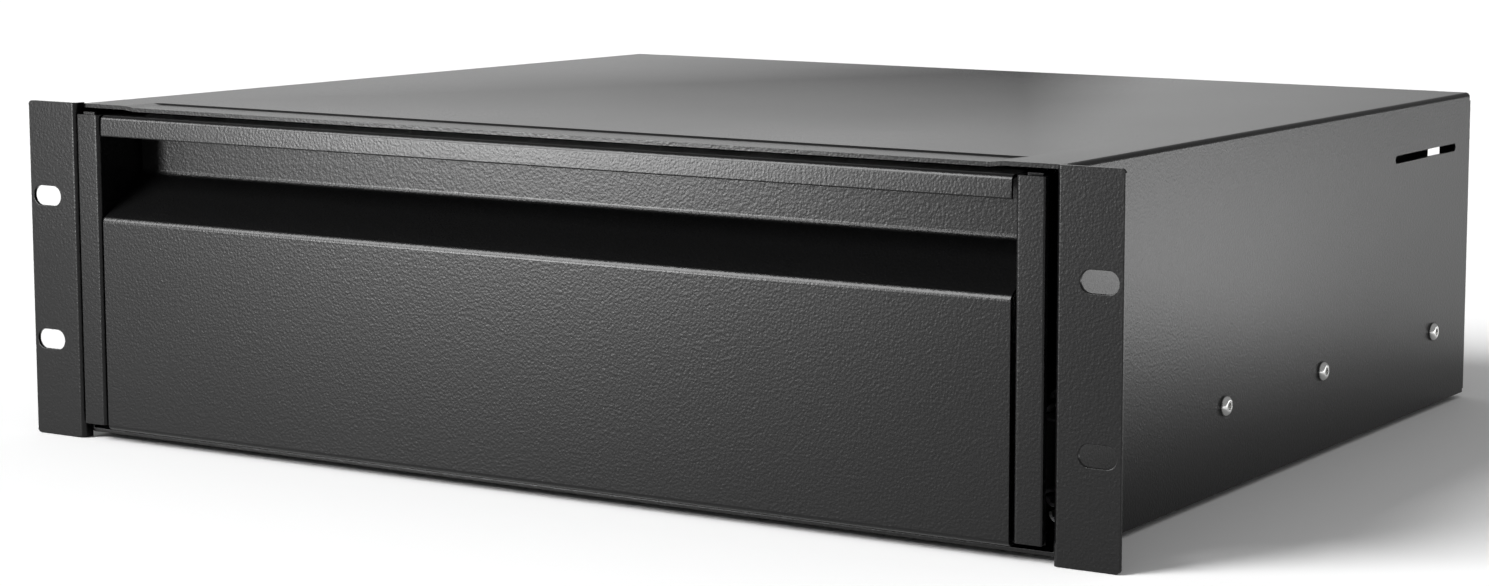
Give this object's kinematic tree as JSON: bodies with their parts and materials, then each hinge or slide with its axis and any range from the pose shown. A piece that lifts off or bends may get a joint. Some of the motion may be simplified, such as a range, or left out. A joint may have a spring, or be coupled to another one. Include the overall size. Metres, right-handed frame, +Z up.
{
  "type": "sliding rack drawer",
  "caption": "Rack-mount drawer: folded steel chassis with slotted ears and a deep drawer with a full-width finger recess, on telescopic ball slides.",
  "frame": {"origin": "centre of the four rack-ear slots, on the rear face of the ears (the plane that meets the rack rails)", "axes": "+X to the right seen from the front, +Y back into the rack, +Z up"},
  "size_m": [0.4826, 0.3808, 0.1325],
  "materials": {
    "black_powder_coat": "satin fine texture",
    "zinc_plated_steel": "bright zinc",
    "bearing_steel": "polished",
    "stainless_screws": "satin",
    "black_plastic": "matt moulded",
    "bumper_rubber": "matt"
  },
  "bodies": {
    "chassis": {"chassis_cover": "black_powder_coat", "base_pan": "black_powder_coat", "slide_outer_right": "zinc_plated_steel", "slide_outer_left": "zinc_plated_steel", "side_screws_right": "stainless_screws", "side_screws_left": "stainless_screws", "rear_bumper_right": "bumper_rubber", "rear_bumper_left": "bumper_rubber"},
    "drawer": {"drawer_floor": "black_powder_coat", "drawer_back": "black_powder_coat", "drawer_front": "black_powder_coat", "drawer_wall_right": "black_powder_coat", "drawer_wall_left": "black_powder_coat", "front_upright_right": "black_powder_coat", "front_upright_left": "black_powder_coat", "slide_inner_right": "zinc_plated_steel", "slide_inner_left": "zinc_plated_steel", "drawer_screws_right": "stainless_screws", "drawer_screws_left": "stainless_screws", "lever_rivet_right": "zinc_plated_steel", "lever_rivet_left": "zinc_plated_steel"},
    "slide_middle_right_body": {"slide_middle_right": "zinc_plated_steel"},
    "outer_cage_right_body": {"outer_ball_cage_right": "zinc_plated_steel", "outer_balls_right": "bearing_steel"},
    "inner_cage_right_body": {"inner_ball_cage_right": "zinc_plated_steel", "inner_balls_right": "bearing_steel"},
    "release_lever_right_body": {"release_lever_right": "black_plastic"},
    "slide_middle_left_body": {"slide_middle_left": "zinc_plated_steel"},
    "outer_cage_left_body": {"outer_ball_cage_left": "zinc_plated_steel", "outer_balls_left": "bearing_steel"},
    "inner_cage_left_body": {"inner_ball_cage_left": "zinc_plated_steel", "inner_balls_left": "bearing_steel"},
    "release_lever_left_body": {"release_lever_left": "black_plastic"}
  },
  "joints": [
    {"name": "drawer_slide", "type": "slide", "parent": "chassis", "child": "drawer", "axis": [0, -1, 0], "range_m": [0, 0.35]},
    {"name": "middle_slide_right", "type": "slide", "parent": "chassis", "child": "slide_middle_right_body", "axis": [0, -1, 0], "range_m": [0, 0.175]},
    {"name": "outer_cage_roll_right", "type": "slide", "parent": "chassis", "child": "outer_cage_right_body", "axis": [0, -1, 0], "range_m": [0, 0.0875]},
    {"name": "inner_cage_roll_right", "type": "slide", "parent": "chassis", "child": "inner_cage_right_body", "axis": [0, -1, 0], "range_m": [0, 0.2625]},
    {"name": "lever_press_right", "type": "hinge", "parent": "drawer", "child": "release_lever_right_body", "pos_m": [0.2047, 0.0685, -0.03305], "axis": [1, 0, 0], "range_deg": [-6, 6], "stiffness_Nm_per_rad": 0.05},
    {"name": "middle_slide_left", "type": "slide", "parent": "chassis", "child": "slide_middle_left_body", "axis": [0, -1, 0], "range_m": [0, 0.175]},
    {"name": "outer_cage_roll_left", "type": "slide", "parent": "chassis", "child": "outer_cage_left_body", "axis": [0, -1, 0], "range_m": [0, 0.0875]},
    {"name": "inner_cage_roll_left", "type": "slide", "parent": "chassis", "child": "inner_cage_left_body", "axis": [0, -1, 0], "range_m": [0, 0.2625]},
    {"name": "lever_press_left", "type": "hinge", "parent": "drawer", "child": "release_lever_left_body", "pos_m": [-0.2047, 0.0685, -0.03305], "axis": [1, 0, 0], "range_deg": [-6, 6], "stiffness_Nm_per_rad": 0.05}
  ],
  "couplings": [
    {"joint": "middle_slide_right", "follows": "drawer_slide", "ratio": 0.5},
    {"joint": "outer_cage_roll_right", "follows": "drawer_slide", "ratio": 0.25},
    {"joint": "inner_cage_roll_right", "follows": "drawer_slide", "ratio": 0.75},
    {"joint": "middle_slide_left", "follows": "drawer_slide", "ratio": 0.5},
    {"joint": "outer_cage_roll_left", "follows": "drawer_slide", "ratio": 0.25},
    {"joint": "inner_cage_roll_left", "follows": "drawer_slide", "ratio": 0.75}
  ]
}
